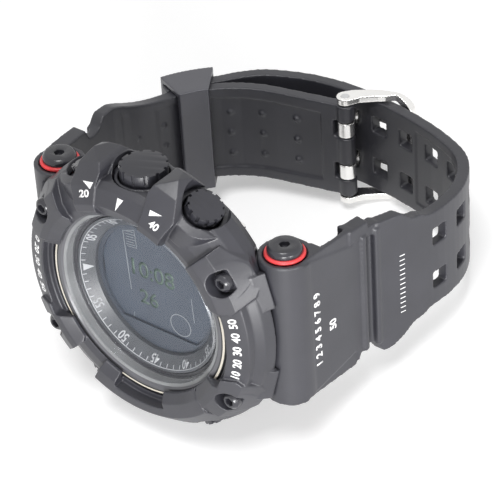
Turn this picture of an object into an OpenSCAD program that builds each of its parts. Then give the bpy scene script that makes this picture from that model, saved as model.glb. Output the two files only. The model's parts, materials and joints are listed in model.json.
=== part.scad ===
// Rugged digital wristwatch, buckled, resting on its nine o'clock side.
// It is drawn in the watch's own frame: x to three o'clock, y to twelve o'clock,
// z out of the dial, with the case back at z = 0. stance() then stands it up.

/* [Case] */
// Outer radius of the resin case under the bezel
case_r = 24.4; // [24.2:0.1:24.6]
// Thickness of the case wall that the pushers pass
case_wall = 4.8; // [4.6:0.1:5]
// Height of the case shoulder that the bezel sits on
shoulder_z = 13.4; // [13:0.1:13.8]
// Distance of each strap pin from the middle
pin_y = 24.8; // [24.6:0.1:25.2]
// Height of the strap pins above the case back
pin_z = 6; // [5.8:0.1:6.3]

/* [Crystal] */
// Radius of the glass
crystal_r = 16.6; // [16.3:0.1:16.8]
// Thickness of the glass
crystal_t = 2.3; // [2:0.1:2.6]
// Height of the top of the glass
crystal_top = 16.2; // [16:0.1:16.6]
// Width of the flat ring that holds the glass
rim_w = 1.9; // [1.7:0.1:2.1]

/* [Bezel] */
// Height of the bezel's crest at nine o'clock and at the corners
crest_z = 18.3; // [18:0.1:18.6]
// Height of the bezel's crest at three o'clock
peak_z = 19.5; // [19.2:0.1:19.8]
// Inner radius of the crest
crest_in_r = 20.4; // [20.2:0.1:20.6]
// Outer radius of the crest
crest_out_r = 22.1; // [21.9:0.1:22.4]
// Largest radius of the bezel
bezel_r = 26.3; // [26:0.1:26.6]
// Reach of the guards beside the three o'clock pusher
guard_x = 27.2; // [26.8:0.1:27.6]
// Place of the bezel screws to the sides of the dial
screw_x = 12.4; // [12.2:0.1:12.6]
// Place of the bezel screws above and below the dial
screw_y = 19.7; // [19.5:0.1:19.9]

/* [Pushers] */
// How far the three o'clock pusher's face stands out of the case
pusher_out = 1.6; // [1.2:0.1:2.2]
// How far the faces of the four other pushers stand out of the case
side_out = 1.3; // [1:0.1:1.6]
// Radius of the three o'clock pusher's head
pusher_head_r = 4.2; // [3.9:0.1:4.3]
// Radius of the four other pushers' heads
side_head_r = 3.3; // [3.1:0.1:3.6]
// Radius of a pusher's stem
stem_r = 1.25; // [1:0.05:1.4]
// Height of the three o'clock pusher above the case back
pusher_z = 11.5; // [11.3:0.1:11.7]
// Height of the four other pushers above the case back
side_z = 11.1; // [10.9:0.1:11.3]
// Travel of a pusher
pusher_travel = 1; // [0.6:0.1:1.1]

/* [Strap] */
// Width of the strap at the case
wide_w = 28.8; // [28.4:0.1:29]
// Width of the strap at the buckle
narrow_w = 19.6; // [18.8:0.2:20.2]
// Thickness of the strap
strap_t = 2.2; // [2:0.1:2.4]
// Radius of the strap's outer face beyond the twelve o'clock lug
upper_bend_r = 23; // [22.8:0.1:23.2]
// Distance between two pairs of holes
hole_pitch = 7; // [6.9:0.05:7.1]
// Side of a square strap hole
hole_side = 3.4; // [3.2:0.1:3.6]
// Distance between the two rows of holes
hole_rows = 9.2; // [9:0.1:9.6]
// Length of the keeper along the strap
keeper_l = 10.5; // [9.9:0.1:10.7]
// Wall of the keeper
keeper_wall = 1; // [0.9:0.05:1.1]

/* [Buckle] */
// Radius of the buckle's hinge bar
bar_r = 0.75; // [0.6:0.05:0.8]
// Width of one prong
prong_w = 3; // [2.8:0.1:3.2]
// Thickness of the buckle's steel
frame_t = 1.3; // [1.2:0.1:1.4]

/* [Fits] */
// Running clearance of a shaft in its bore
running = 0.05; // [0.03:0.01:0.08]
// Gap between pieces that must not touch
gap = 0.25; // [0.2:0.05:0.3]

/* [Hidden] */
$fn = 72;
PUSHERS = [30, 0, -30, -150, 150];
NAMES = ["2", "3", "4", "8", "10"];

// Heights inside the case
back_t = 1.6;
seat_z = crystal_top - crystal_t;
rim_r = crystal_r + 0.6 + rim_w;
rim_top = crystal_top - 0.2;
bezel_in_r = rim_r + gap;
claw_in_r = bezel_in_r - 1.8;

// Pusher distances, measured out from the middle along each pusher's axis
cavity_r = case_r - case_wall;
flange_out_r = crystal_r - 1;
collar_face = case_r - 0.4;
collar_floor = case_r - 2.5;
collar_back = collar_floor - 0.9;
skirt_back = collar_floor + pusher_travel + gap;
plate_t = 1.4;
clip_back = cavity_r - 0.8;
stem_in = flange_out_r + pusher_travel + gap;
clip_t = 0.5;
clip_r = 1.6;
seal_w = 0.36;
skirt_t = 0.8;
function height_of(a) = a == 0 ? pusher_z : side_z;
function face_of(a) = case_r + (a == 0 ? pusher_out : side_out);
function head_of(a) = a == 0 ? pusher_head_r : side_head_r;
function collar_of(a) = head_of(a) + 0.9;
function bay_of(a) = collar_of(a) + gap;

// Strap ends
barrel_r = 4.7;
barrel_half = wide_w / 2;
pin_r = 1;
knuckle_half = 6;
ring_r = 3.75;
cap_r = 3.05;

// The strap's path lies in the plane of y and z. Near the keeper both straps follow
// one circle; elsewhere a smooth curve runs through a few chosen points.
lug_y = pin_y + barrel_r;
bend_c = [lug_y + 0.7 - upper_bend_r, -17.5];
tail_end = -25;
root_extra = 0.9;
keeper_slack = 0.2;
tail_gap = 0.3;
tail_r = upper_bend_r + tail_gap + strap_t;
bar_c = [-1.8, -42];
bar_boss_r = 1.7;

// Unit vector at an angle, and the point at an angle on a circle
function dir(a) = [cos(a), sin(a)];
function on_circle(c, r, a) = c + r * dir(a);

// Points on a circle from one angle to another
function arc(c, r, a0, a1, n = 14) = [for (i = [0:n]) on_circle(c, r, a0 + (a1 - a0) * i / n)];

// Smooth curve through points, with n steps between each two
function mix3(a, b, c, d, t) = 0.5 * ((2 * b) + (c - a) * t + (2 * a - 5 * b + 4 * c - d) * t * t
    + (3 * b - a - 3 * c + d) * t * t * t);
function curve(p, n = 5) = concat([for (i = [0:len(p) - 2], k = [0:n - 1])
    let (a = p[max(i - 1, 0)], d = p[min(i + 2, len(p) - 1)]) mix3(a, p[i], p[i + 1], d, k / n)],
    [p[len(p) - 1]]);

// The same path moved sideways by the strap's wall, which is thicker near the case
function wall_at(z) = strap_t + root_extra * min(1, max(0, (z + 12) / 10));
function side_of(p, i) = let (d = p[min(i + 1, len(p) - 1)] - p[max(i - 1, 0)]) [-d[1], d[0]] / norm(d);
function moved(p, side) = [for (i = [0:len(p) - 1]) p[i] + side * wall_at(p[i][1]) * side_of(p, i)];
function back(p) = [for (i = [len(p) - 1:-1:0]) p[i]];

// Outer face of the twelve o'clock strap, from the lug to the buckle's bar
upper_path = concat(curve([[lug_y - 0.2, pin_z], [lug_y + 0.4, 1], [lug_y + 0.7, -6],
    [lug_y + 0.7, -12]], 4), arc(bend_c, upper_bend_r, 0, -78, 26), [bar_c + [1, -0.9]]);
upper_outline = concat(upper_path, [bar_c], back(moved(upper_path, -1)));

// Outer face of the six o'clock strap, from the lug to the tip of the tail
lower_path = concat(curve([[-lug_y + 0.2, pin_z], [-29.8, 0], [-30.9, -8.5], [-33.6, -16.5], [-35.2, -25],
    [-34.3, -33], [-30, -40], [-22.5, -44], [-12.5, -46.7], [-2, -48], [8, -47.3], [17, -44],
    on_circle(bend_c, tail_r + 1.3, -58), on_circle(bend_c, tail_r + 0.05, -49),
    on_circle(bend_c, tail_r, -40)], 5),
    arc(bend_c, tail_r, -38.5, tail_end, 6));
lower_outline = concat(lower_path, back(moved(lower_path, 1)));

// Where the keeper sits on the twelve o'clock strap
keeper_a = -36.7;
upper_in_r = upper_bend_r - strap_t;
keeper_in = upper_in_r - 0.7 - keeper_wall;
keeper_out = tail_r + keeper_slack + keeper_wall;

far_bar_c = [-12.2, -48];
arm_end_r = 0.9;
shell_z = 7.6;
// The watch leans back until the bezel's feet and the buckle both meet the table
foot_x = bezel_r + 0.15;
foot_z = shell_z + 1;
rest_case = [-foot_x, foot_z];
arm_in = narrow_w / 2 + 0.35;
rest_buckle = [-arm_in - frame_t, far_bar_c[1] - arm_end_r];
lean = atan2(rest_buckle[0] - rest_case[0], rest_case[1] - rest_buckle[1]);

module stance() {
    rotate([-lean, 0, 0]) rotate([90, -90, 0]) children();
}

// A solid turned round the dial's axis from an outline of radius and height
module turned(outline, a = 360) {
    rotate_extrude(angle = a) polygon(outline);
}

// A plate in the plane of y and z, drawn out to both sides along x
module side_plate(outline, half) {
    rotate([90, 0, 90]) translate([0, 0, -half]) linear_extrude(height = 2 * half) polygon(outline);
}

// A round bar along x at a point of the plane of y and z
module cross_bar(p, r, half, middle = 0) {
    translate([middle, p[0], p[1]]) rotate([0, 90, 0]) cylinder(r = r, h = 2 * half, center = true);
}

// What follows is drawn pointing out along +z from the pusher's place on the axis
module along_pusher(a) {
    rotate([0, 0, a]) translate([0, 0, height_of(a)]) rotate([0, 90, 0]) children();
}

// A wedge of the dial between two angles, for cutting
module sector(r, a0, a1, z0, z1) {
    mid = (a0 + a1) / 2;
    far = r / cos((a1 - a0) / 2);
    translate([0, 0, z0]) linear_extrude(height = z1 - z0)
        polygon([[0, 0], far * dir(a0), far * dir(mid), far * dir(a1)]);
}

module four_corners() {
    for (mx = [0, 1], my = [0, 1]) mirror([mx, 0, 0]) mirror([0, my, 0]) children();
}

module two_ends() {
    for (my = [0, 1]) mirror([0, my, 0]) children();
}

module case_body() {
    color([0.16, 0.16, 0.17]) difference() {
        union() {
            turned([[lip_r, back_t], [case_low_r, back_t], [case_r, waist_z], [case_r, shoulder_z],
                [rim_r, shoulder_z], [rim_r, seat_z], [flange_out_r, seat_z],
                [flange_out_r, shoulder_z - 1.2], [cavity_r, shoulder_z - 1.2],
                [cavity_r, waist_z - 1.4], [lip_r + 0.8, back_t + lip_t], [lip_r, back_t + lip_t]]);
            for (a = PUSHERS) along_pusher(a)
                translate([0, 0, collar_back]) cylinder(r = collar_of(a), h = collar_face - collar_back);
            two_ends() {
                translate([-knuckle_half, cavity_r + 0.4, pin_z - knuckle_r])
                    cube([2 * knuckle_half, pin_y - cavity_r - 0.4, 2 * knuckle_r]);
                cross_bar([pin_y, pin_z], knuckle_r, knuckle_half);
            }
            four_corners() translate([screw_x, screw_y, boss_z])
                cylinder(r = boss_r, h = shoulder_z - boss_z);
        }
        four_corners() translate([screw_x, screw_y, boss_z - 1]) cylinder(r = 1.02, h = 4);
        for (a = PUSHERS) along_pusher(a) {
            translate([0, 0, flange_out_r - 1]) cylinder(r = stem_r + running, h = case_r);
            translate([0, 0, collar_floor]) cylinder(r = head_of(a) + gap, h = 6);
            translate([0, 0, collar_face]) cylinder(r = collar_of(a), h = 6);
            translate([0, 0, collar_floor - 2 * seal_w - 0.1]) cylinder(r = seal_out + 0.1, h = 2);
            translate([0, 0, stem_in]) cylinder(r = clip_r + 0.2, h = cavity_r - 0.15 - stem_in);
        }
        two_ends() cross_bar([pin_y, pin_z], pin_r + running, knuckle_half + 1);
        two_ends() for (s = [-1, 1])
            cross_bar([pin_y, pin_z], barrel_r + gap, 6, s * (knuckle_half + 6.02));
        translate([0, 0, back_t - 0.02]) rotate_extrude() translate([gasket_r, 0])
            square([gasket_w + 0.04, 0.5]);
        four_corners() translate([back_screw, back_screw, back_t - 1])
            cylinder(r = back_screw_r, h = 5);
    }
}
lip_r = 14.6;
lip_t = 1.6;
case_low_r = 17.6;
waist_z = 7.4;
gasket_r = 14.7;
gasket_w = 0.45;
knuckle_r = 3;
boss_r = 2.1;
boss_z = pin_z + barrel_r + gap + 0.1;
module_r = lip_r - 0.15;
back_screw = 11.3;
back_head_r = 1;
back_head_z = 0.75;
seal_out = stem_r + running + 2 * seal_w + 0.02;
back_screw_r = 0.6;

module crystal() {
    color([0.75, 0.8, 0.82, 0.4]) turned([[0, seat_z + 0.02], [crystal_r, seat_z + 0.02],
        [crystal_r, crystal_top - 0.5], [crystal_r - 0.5, crystal_top], [0, crystal_top]]);
}

module crystal_gasket() {
    color([0.85, 0.85, 0.85]) turned([[crystal_r + 0.02, seat_z], [crystal_r + 0.58, seat_z],
        [crystal_r + 0.58, crystal_top - 0.5], [crystal_r + 0.02, crystal_top - 0.7]]);
}

module crystal_rim() {
    color([0.78, 0.74, 0.66]) turned([[crystal_r + 0.6, seat_z], [rim_r, seat_z], [rim_r, rim_top - 0.3],
        [rim_r - 0.3, rim_top], [crystal_r + 0.9, rim_top], [crystal_r + 0.6, rim_top - 0.3]]);
}

// Sloped ring under the glass that carries the minute numbers
flange_in_r = flange_out_r - 2.6;
module dial_flange() {
    color([0.35, 0.36, 0.38]) turned([[flange_in_r, seat_z - 2.6], [flange_out_r - 0.1, seat_z - 2.6],
        [flange_out_r - 0.1, seat_z - 0.05], [flange_out_r - 0.6, seat_z - 0.05],
        [flange_in_r, seat_z - 1.8]]);
}

dial_z = seat_z - 2.62;
lcd_t = 1.3;
module dial_mask() {
    color([0.3, 0.31, 0.34]) translate([0, 0, dial_z - 0.5]) difference() {
        cylinder(r = flange_out_r - 0.2, h = 0.5);
        translate([0, 0, -1]) intersection() {
            cylinder(r = flange_in_r - 0.8, h = 3);
            translate([-9, -13, 0]) cube([26, 26, 3]);
        }
    }
}

module lcd_panel() {
    color([0.42, 0.46, 0.48]) translate([0, 0, dial_z - 0.5 - lcd_t]) intersection() {
        cylinder(r = flange_in_r - 0.4, h = lcd_t);
        translate([-10, -12, 0]) cube([21, 24, lcd_t]);
    }
}

backlight_t = 0.4;
module lcd_backlight() {
    color([0.85, 0.86, 0.8]) translate([-9, -9, dial_z - 0.5 - lcd_t - backlight_t])
        cube([18, 18, backlight_t]);
}

board_z = 6.2;
frame_top = dial_z - 0.5;
module module_frame() {
    color([0.2, 0.2, 0.22]) difference() {
        translate([0, 0, board_z]) cylinder(r = module_r, h = frame_top - board_z);
        translate([0, 0, board_z - 1]) intersection() {
            cylinder(r = flange_in_r - 0.2, h = 12);
            translate([-10.2, -12.2, 0]) cube([21.4, 24.4, 12]);
        }
    }
}

board_t = 0.8;
module circuit_board() {
    color([0.1, 0.35, 0.2]) translate([0, 0, board_z - board_t])
        cylinder(r = module_r, h = board_t);
}

module module_chip() {
    color([0.08, 0.08, 0.08]) translate([-4, -4, board_z]) cube([8, 8, 1.2]);
}

module timing_quartz() {
    color([0.75, 0.76, 0.78]) translate([6, -7, board_z + 0.9]) rotate([-90, 0, 0])
        cylinder(r = 0.9, h = 6);
}

module zebra_strips() {
    color([0.3, 0.3, 0.32]) for (mx = [0, 1]) mirror([mx, 0, 0])
        translate([9.1, -8, board_z]) cube([0.9, 16, dial_z - 0.5 - lcd_t - board_z]);
}

battery_r = 8;
battery_t = 2;
module battery() {
    color([0.78, 0.79, 0.8]) translate([-4, 2, board_z - board_t - battery_t])
        cylinder(r = battery_r, h = battery_t);
}

module battery_clip() {
    color([0.7, 0.68, 0.6]) difference() {
        translate([-4 - battery_r - 1, 0.5, board_z - board_t - battery_t - 0.3])
            cube([2 * battery_r + 2, 3, battery_t + 0.3]);
        translate([-4 - battery_r - 0.02, 0, board_z - board_t - battery_t])
            cube([2 * battery_r + 0.04, 4, battery_t + 1]);
    }
}

module buzzer_disc() {
    color([0.8, 0.7, 0.45]) translate([4.6, -7.2, back_t]) cylinder(r = 5.6, h = 0.4);
}

back_r = 17.4;
module case_back() {
    color([0.72, 0.73, 0.75]) difference() {
        union() {
            turned([[0, 0.3], [back_r - 1.6, 0.3], [back_r - 0.6, 0.9], [back_r, back_t], [0, back_t]]);
            turned([[0, 0], [13.4, 0], [13.8, 0.35], [0, 0.35]]);
        }
        four_corners() translate([back_screw, back_screw, -1]) cylinder(r = back_screw_r, h = 4);
        four_corners() translate([back_screw, back_screw, -1])
            cylinder(r = back_head_r + 0.1, h = back_head_z + 1.5);
    }
}

module case_back_gasket() {
    color([0.1, 0.1, 0.1]) translate([0, 0, back_t]) rotate_extrude()
        translate([gasket_r + 0.02, 0]) square([gasket_w, 0.46]);
}

module case_back_screws() {
    color([0.7, 0.7, 0.72]) four_corners() translate([back_screw, back_screw, 0]) difference() {
        union() {
            translate([0, 0, back_head_z]) cylinder(r = back_head_r, h = 0.5);
            translate([0, 0, back_head_z]) cylinder(r = back_screw_r, h = back_t + lip_t - back_head_z);
        }
        translate([-0.15, -1.5, back_head_z - 1]) cube([0.3, 3, 1.25]);
    }
}

// The bezel's low ring, which shows where the crest is cut down over the pushers
module bezel_shell() {
    turned([[case_r - 1, shell_z], [case_r + gap + 0.5, shell_z], [bezel_r, shell_z + 1.8],
        [bezel_r, 11.6], [bezel_r - 0.6, 13.6], [bezel_r - 2.1, 14.9], [crest_out_r - 0.9, low_z],
        [crest_in_r - 1.4, low_z + 0.4], [claw_in_r - 0.8, low_z - 0.1], [claw_in_r - 0.8, shoulder_z - 1],
        [case_r - 1, shoulder_z - 1]]);
}

// Raised part of the ring from one angle to another, with its crest at a height
module bezel_crest(a0, a1, z) {
    rotate([0, 0, a0]) turned([[claw_in_r - 0.6, 14], [bezel_r - 0.9, 12.4], [bezel_r - 1.3, z - 3.4],
        [bezel_r - 3.2, z - 1.2], [crest_out_r - 0.1, z], [crest_in_r - 1.2, z],
        [claw_in_r - 0.6, low_z + 0.1]], a1 - a0);
}

// Flat-faced bands at six and twelve o'clock
module bezel_bands() {
    intersection() {
        turned([[claw_in_r - 0.5, 14], [bezel_r - 1.8, 14], [bezel_r - 2, band_z - 1.5],
            [crest_in_r + 0.2, band_z], [claw_in_r - 0.5, band_z - 1]]);
        translate([-9.4, -30, 0]) cube([18.8, 60, 30]);
    }
}

// Panel at three o'clock
module bezel_panel() {
    rotate([0, 0, -14]) turned([[claw_in_r - 0.4, 14], [bezel_r - 1.9, 14],
        [bezel_r - 1.9, peak_z - 2.7], [bezel_r - 2.9, peak_z - 1.5],
        [crest_in_r + 0.3, peak_z - 0.2], [claw_in_r - 0.4, low_z + 0.2]], 28);
}

// Envelope that the corner blocks stay under, and that of the arms at three o'clock
module block_dome(z, out_r) {
    turned([[0, shell_z], [case_r + gap + 0.3, shell_z], [out_r - 0.6, shell_z + 3], [out_r, z - 6.2],
        [out_r - 1.6, z - 3.6], [crest_out_r + 1.9, z - 1.4], [crest_in_r + 0.5, z], [crest_in_r - 0.9, z],
        [claw_in_r - 0.3, low_z + 0.3], [0, low_z + 0.3]]);
}

// Corner blocks: an inner ridge that runs out over the case's corner, and the screw's boss
ear = [[7, 15.6], [7, 21.8], [9.4, 24.2], [13.6, 24.4], [18, 17.8], [13.2, 12.7], [10.2, 12.6]];
module bezel_ears() {
    four_corners() translate([0, 0, shell_z]) linear_extrude(height = 20) polygon(ear);
}
module bezel_bosses() {
    four_corners() translate([screw_x, screw_y, shell_z])
        cylinder(r = screw_head_r + 1.8, h = pocket_z + 1.2 - shell_z);
}

guard = [[17, 3.9], [20.4, 4.9], [23.1, 5.3], [guard_x - 2, 5.2], [guard_x - 0.7, 5.9], [guard_x, 9.2],
    [guard_x - 1.9, 10.5], [21.6, 11.2], [19.3, 9.7], [15.9, 8]];
module bezel_guards() {
    for (my = [0, 1]) mirror([0, my, 0]) translate([0, 0, 6.2])
        linear_extrude(height = 14) polygon(guard);
}

// Two small feet at nine o'clock that the watch stands on
module bezel_feet() {
    for (my = [0, 1]) mirror([0, my, 0]) translate([0, 0, foot_z]) linear_extrude(height = 3.4)
        polygon([[0.6 - case_r - gap - 1, 2.6], [0.6 - case_r - gap - 1, 5.4], [-foot_x, 5], [-foot_x, 3]]);
}

module bezel() {
    color([0.17, 0.17, 0.18]) difference() {
        union() {
            intersection() {
                union() {
                    bezel_ears();
                    for (a = [PUSHERS[0], PUSHERS[2]]) along_pusher(a)
                        translate([0, 0, collar_back - 1]) cylinder(r = bay_of(a) + 1.5, h = hood_l);
                }
                block_dome(crest_z, bezel_r + 0.5);
            }
            intersection() {
                bezel_guards();
                block_dome(peak_z, guard_x + 1.5);
            }
            intersection() {
                bezel_bosses();
                block_dome(crest_z, bezel_r + 0.6);
            }
            bezel_shell();
            bezel_feet();
            bezel_crest(152.3, 223.6, crest_z);
            bezel_bands();
            bezel_panel();
            bezel_horns();
        }
        // the case, its bosses, the glass and its rim
        four_corners() translate([screw_x, screw_y, 0]) cylinder(r = boss_r + gap, h = shoulder_z + 0.02);
        translate([0, 0, -1]) cylinder(r = case_r + gap, h = shoulder_z + 1.02);
        translate([0, 0, shoulder_z - 1]) cylinder(r = bezel_in_r, h = crystal_top + 0.25 - shoulder_z + 1);
        translate([0, 0, crystal_top]) cylinder(r = claw_in_r, h = 6);
        bezel_slots();
        bezel_pusher_bays();
        bezel_lug_clearance();
        four_corners() translate([screw_x, screw_y, pocket_z]) cylinder(r = screw_head_r + 0.65, h = 6);
        four_corners() translate([screw_x, screw_y, pocket_z - 4]) cylinder(r = 1.05, h = 6);
    }
}
pocket_z = seat_z + 1.5;
screw_head_r = 1.65;
low_z = crystal_top + 0.4;
band_z = crystal_top + 1.4;

// Slots through the bezel's inner slope that show the rim of the glass
module bezel_slots() {
    for (my = [0, 1]) mirror([0, my, 0]) intersection() {
        translate([-9, 0, crystal_top - 0.1]) cube([14.8, 30, 9]);
        translate([0, 0, crystal_top - 2]) cylinder(r = crest_in_r, h = 8);
    }
    intersection() {
        sector(24, 164, 196, crystal_top - 0.1, 22);
        translate([0, 0, crystal_top - 2]) cylinder(r = crest_in_r - 0.1, h = 8);
    }
}

hood_l = 5;
module bezel_pusher_bays() {
    for (a = PUSHERS) along_pusher(a)
        translate([0, 0, collar_back - gap]) cylinder(r = bay_of(a), h = 14);
    translate([crest_out_r + 2.1, -4.6, 4]) cube([12, 9.2, 20]);
}

module bezel_lug_clearance() {
    two_ends() {
        cross_bar([pin_y, pin_z], barrel_r + gap, 17);
        translate([-17, pin_y - barrel_r - gap, -4]) cube([34, 20, pin_z + 4]);
        translate([-knuckle_half - gap, case_r - 3, -4])
            cube([2 * knuckle_half + 2 * gap, 10, 2 * pin_z + 3.4]);
    }
}

// Square horns that reach over the strap ends
module bezel_horns() {
    four_corners() translate([9.9, pin_y + 0.5, pin_z + barrel_r]) rotate([90, 0, 75])
        translate([0, 0, -3.4]) linear_extrude(height = 6.8)
            polygon([[-4, 0], [0, 0], [0.1, 0.5], [-1.2, 2.4], [-3, 3.6], [-4, 3.6]]);
}

module bezel_screws() {
    color([0.12, 0.12, 0.13]) four_corners() translate([screw_x, screw_y, pocket_z]) difference() {
        union() {
            cylinder(r = screw_head_r, h = 1.1);
            translate([0, 0, 1.1]) cylinder(r1 = screw_head_r, r2 = screw_head_r - 0.5, h = 0.5);
            translate([0, 0, boss_z + 0.4 - pocket_z]) cylinder(r = 1, h = pocket_z - boss_z - 0.4);
        }
        translate([0, 0, 0.6]) cylinder(r = 0.85, h = 2, $fn = 6);
    }
}

notch_w = 0.6;
notch_in = 0.4;
module pusher(a) {
    plate = face_of(a) - plate_t;
    color([0.14, 0.14, 0.15]) along_pusher(a) difference() {
        union() {
            translate([0, 0, skirt_back]) cylinder(r = head_of(a), h = plate + plate_t - skirt_back);
            translate([0, 0, stem_in]) cylinder(r = stem_r, h = plate - stem_in + 0.2);
        }
        difference() {
            translate([0, 0, skirt_back - 1]) cylinder(r = head_of(a) - skirt_t, h = plate - skirt_back + 1);
            cylinder(r = stem_r, h = plate + 1);
        }
        for (i = [0:11]) rotate([0, 0, 30 * i + 15])
            translate([head_of(a) - notch_in, -notch_w / 2, collar_face + 0.3]) cube([1, notch_w, 4]);
        difference() {
            translate([0, 0, clip_back]) cylinder(r = clip_r, h = clip_t);
            translate([0, 0, clip_back - 1]) cylinder(r = stem_r - 0.3, h = 3);
        }
    }
}

module pusher_clip(a) {
    color([0.7, 0.7, 0.72]) along_pusher(a) translate([0, 0, clip_back]) difference() {
        cylinder(r = clip_r, h = clip_t);
        translate([0, 0, -1]) cylinder(r = stem_r - 0.3, h = 3);
        translate([stem_r * -0.6, 0, -1]) cube([stem_r * 1.2, 4, 3]);
    }
}

module pusher_spring(a) {
    color([0.75, 0.76, 0.78]) along_pusher(a) translate([0, 0, collar_floor]) difference() {
        cylinder(r = head_of(a) - skirt_t - 0.3, h = face_of(a) - plate_t - collar_floor);
        translate([0, 0, -1]) cylinder(r = stem_r + 0.4, h = 6);
    }
}

module pusher_seals() {
    color([0.1, 0.1, 0.1]) for (a = PUSHERS) along_pusher(a)
        translate([0, 0, collar_floor - seal_w - 0.05]) rotate_extrude()
            translate([seal_out - seal_w, 0]) circle(r = seal_w, $fn = 24);
}

// The strap's width along its run, seen square to the wearer's wrist
module strap_plan(edge) {
    n = narrow_w / 2;
    right = concat([[edge[0][0], 20]], edge, [[n, -60]]);
    rotate([90, 0, 0]) translate([0, 0, -60]) linear_extrude(height = 120)
        polygon(concat(right, back([for (q = right) [-q[0], q[1]]])));
}

// Barrel that the strap pin runs in, at +y
module strap_barrel() {
    cross_bar([pin_y, pin_z], barrel_r, barrel_half);
}

// What the case, the pin and the end rings take out of a barrel
module barrel_cuts() {
    cross_bar([pin_y, pin_z], pin_r + running, 20);
    for (mx = [0, 1]) mirror([mx, 0, 0]) {
        cross_bar([pin_y, pin_z], ring_r + 0.02, 1, barrel_half + 0.4);
    }
    translate([-knuckle_half - gap, 0, pin_z - 10])
        cube([2 * (knuckle_half + gap), pin_y, 20]);
    cross_bar([pin_y, pin_z], knuckle_r + gap, knuckle_half + gap);
}

wide_half = wide_w / 2;
narrow_half = narrow_w / 2;
upper_edge = concat([[wide_half, -3.6]],
    curve([[wide_half - 2, -4.5], [wide_half - 2.2, -6], [wide_half - 1.9, -7.8]], 3),
    curve([[wide_half - 0.7, -8.6], [wide_half, -9.6], [wide_half, -12], [wide_half - 0.9, -14.4],
    [narrow_half + 2.2, -17.4], [narrow_half + 0.9, -20.6], [narrow_half + 0.2, -23.5],
    [narrow_half, -25.6]], 4));
lower_edge = concat([[wide_half, -5.6]],
    curve([[wide_half - 2.1, -6.5], [wide_half - 2.2, -8.4], [wide_half - 2.1, -10.4]], 3),
    curve([[wide_half, -11.4], [wide_half, -12.6], [wide_half - 0.5, -13.8], [wide_half - 1.6, -15.6],
    [narrow_half + 1.3, -17.8], [narrow_half + 1, -19.6], [narrow_half + 0.2, -21.2],
    [narrow_half, -23]], 4));

module strap_upper() {
    color([0.17, 0.17, 0.18]) difference() {
        union() {
            intersection() {
                side_plate(upper_outline, wide_half);
                strap_plan(upper_edge);
            }
            strap_barrel();
            cross_bar(bar_c, bar_boss_r, narrow_half);
        }
        barrel_cuts();
        cross_bar([lug_y + 0.7, -6.2], 1.1, 20);
        cross_bar(bar_c, bar_r + running, 20);
        for (s = [-1, 1]) translate([s * hole_rows / 2 - prong_w / 2 - gap, bar_c[0] - 2.6, bar_c[1] - 4])
            cube([prong_w + 2 * gap, 2.6 + 1.95, 8]);
    }
}

// Distance along a path to each of its points, and the place at a distance along it
function run_to(p) = [for (i = 0, d = 0; i < len(p); i = i + 1,
    d = d + (i < len(p) ? norm(p[i] - p[i - 1]) : 0)) d];
function index_at(run, d) = len([for (r = run) if (r < d) r]);
function place_at(p, run, d) = let (i = index_at(run, d), k = (d - run[i - 1]) / (run[i] - run[i - 1]))
    p[i - 1] + k * (p[i] - p[i - 1]);

// A pair of square holes through the strap at a distance along its path
module hole_pair(p, run, d) {
    n = side_of(p, index_at(run, d));
    m = place_at(p, run, d) + strap_t / 2 * n;
    for (s = [-1, 1]) rotate([90, 0, 90]) translate([m[0], m[1], s * hole_rows / 2])
        rotate([0, 0, atan2(n[1], n[0])]) cube([strap_t * 2, hole_side, hole_side], center = true);
}
lower_run = run_to(lower_path);
first_hole = 30.6;
hole_count = 12;

module strap_lower() {
    color([0.17, 0.17, 0.18]) difference() {
        union() {
            intersection() {
                side_plate(lower_outline, wide_half);
                strap_plan(lower_edge);
            }
            mirror([0, 1, 0]) strap_barrel();
        }
        mirror([0, 1, 0]) barrel_cuts();
        cross_bar([-31.9, -8.6], 1.1, 20);
        for (mx = [0, 1]) mirror([mx, 0, 0]) translate([wide_half - 2, -28.9, -4.8]) cube([4, 4, 6]);
        for (i = [0:hole_count - 1]) hole_pair(lower_path, lower_run, first_hole + i * hole_pitch);
    }
}

module strap_pins() {
    color([0.7, 0.71, 0.73]) two_ends() cross_bar([pin_y, pin_z], pin_r, barrel_half - 0.62);
}

module pin_rings() {
    color([0.85, 0.15, 0.15]) four_corners() translate([barrel_half - 0.6, pin_y, pin_z])
        rotate([0, 90, 0]) difference() {
            cylinder(r = ring_r, h = 1.2);
            translate([0, 0, -1]) cylinder(r = cap_r + 0.02, h = 4);
        }
}

module pin_caps() {
    color([0.15, 0.15, 0.16]) four_corners() translate([barrel_half - 0.6, pin_y, pin_z])
        rotate([0, 90, 0]) difference() {
            union() {
                cylinder(r = cap_r, h = 1.8);
                translate([0, 0, 1.8]) cylinder(r1 = cap_r, r2 = cap_r - 0.5, h = 0.6);
            }
            translate([0, 0, 1.4]) cylinder(r = 0.95, h = 2, $fn = 6);
        }
}

// Buckle: side arms from the hinge bar, rounded into the far bar that lies over the tail
arm_out = arm_in + frame_t;
arm_outline = concat(arc(bar_c, 1.6, -40, 140, 20),
    [[-4.3, -43.1], [-6.8, -45.2], [-8, -45.9], [-9.3, -47.4]],
    arc(far_bar_c, arm_end_r, 105, 275, 16),
    [[-8.6, -48.15], [-6.1, -47.3], [-4.3, -46.3], [-1.7, -44.4]]);
module buckle_plan(out, far, r) {
    translate([0, 0, -60]) linear_extrude(height = 40) union() {
        for (s = [-1, 1]) translate([s * (out - r), far + r]) circle(r = r, $fn = 48);
        translate([r - out, far]) square([2 * (out - r), 8]);
        translate([-out, far + r]) square([2 * out, bar_c[0] + 4 - far - r]);
    }
}
module buckle_frame() {
    color([0.8, 0.8, 0.82]) difference() {
        intersection() {
            side_plate(arm_outline, arm_out);
            buckle_plan(arm_out, far_bar_c[0] - arm_end_r - 0.1, 4.4);
        }
        buckle_plan(arm_in, far_bar_c[0] + arm_end_r, 3);
        cross_bar(bar_c, bar_r, 20);
    }
}

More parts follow.
